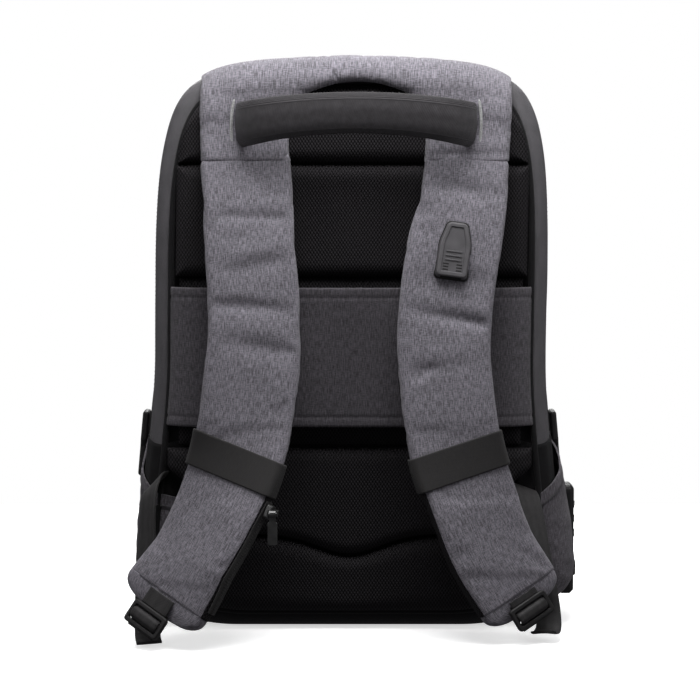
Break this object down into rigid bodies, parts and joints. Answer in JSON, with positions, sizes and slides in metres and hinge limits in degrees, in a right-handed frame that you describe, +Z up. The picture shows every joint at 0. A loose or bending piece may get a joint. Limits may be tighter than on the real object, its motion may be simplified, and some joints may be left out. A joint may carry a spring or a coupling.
{
  "type": "laptop backpack",
  "caption": "Upright laptop backpack with padded shoulder straps, mesh back, grab handle, luggage sleeve, charging outlet on one strap and a combination lock on its side.",
  "frame": {"origin": "middle of the flat underside that the bag stands on", "axes": "+X to the right when facing the harness side, +Y from the harness towards the hidden front, +Z up"},
  "size_m": [0.3654, 0.2399, 0.4592],
  "materials": {
    "heather": "matte grey heather weave",
    "band_heather": "matte dark grey heather weave",
    "charcoal": "smooth coated fabric",
    "air_mesh": "black spacer mesh",
    "webbing": "woven webbing",
    "black_plastic": "moulded, slightly glossy",
    "outlet_plastic": "satin",
    "dark_metal": "dark coated"
  },
  "bodies": {
    "bag": {"yoke": "heather", "strap_left": "heather", "strap_right": "heather", "strap_tip_left": "heather", "strap_tip_right": "heather", "side_pocket_left": "heather", "side_pocket_right": "heather", "front_panel": "heather", "luggage_band": "band_heather", "back_board": "charcoal", "gusset_top": "charcoal", "gusset_left": "charcoal", "gusset_right": "charcoal", "base_panel": "charcoal", "lock_mount": "charcoal", "mesh_top": "air_mesh", "mesh_upper": "air_mesh", "mesh_middle": "air_mesh", "mesh_lower": "air_mesh", "mesh_base": "air_mesh", "handle": "webbing", "main_zip": "webbing", "strap_band_left": "webbing", "strap_band_right": "webbing", "end_tab_left": "webbing", "end_tab_right": "webbing", "adjuster_left": "webbing", "adjuster_right": "webbing", "side_strap_left": "webbing", "side_strap_right": "webbing", "strap_zip": "webbing", "ladder_lock_left": "black_plastic", "ladder_lock_right": "black_plastic", "side_buckle_left": "black_plastic", "side_buckle_right": "black_plastic", "lock_body": "black_plastic", "usb_port": "outlet_plastic", "zip_slider": "dark_metal"},
    "zip_pull_body": {"zip_pull": "dark_metal"},
    "dial_top": {"lock_dial_1": "black_plastic"},
    "dial_middle": {"lock_dial_2": "black_plastic"},
    "dial_bottom": {"lock_dial_3": "black_plastic"},
    "release_button": {"lock_button": "black_plastic"}
  },
  "joints": [
    {"name": "zip_pull_swing", "type": "hinge", "parent": "bag", "child": "zip_pull_body", "pos_m": [-0.05872, -0.15537, 0.1068], "axis": [-1, 0, 0], "range_deg": [0, 150]},
    {"name": "lock_button_slide", "type": "slide", "parent": "bag", "child": "release_button", "axis": [0, 0, 1], "range_m": [0, 0.004], "stiffness_N_per_m": 400},
    {"name": "dial_top_turn", "type": "hinge", "parent": "bag", "child": "dial_top", "pos_m": [0.1835, 0.022, 0.088], "axis": [0, 0, 1], "continuous": true},
    {"name": "dial_middle_turn", "type": "hinge", "parent": "bag", "child": "dial_middle", "pos_m": [0.1835, 0.022, 0.076], "axis": [0, 0, 1], "continuous": true},
    {"name": "dial_bottom_turn", "type": "hinge", "parent": "bag", "child": "dial_bottom", "pos_m": [0.1835, 0.022, 0.064], "axis": [0, 0, 1], "continuous": true}
  ]
}
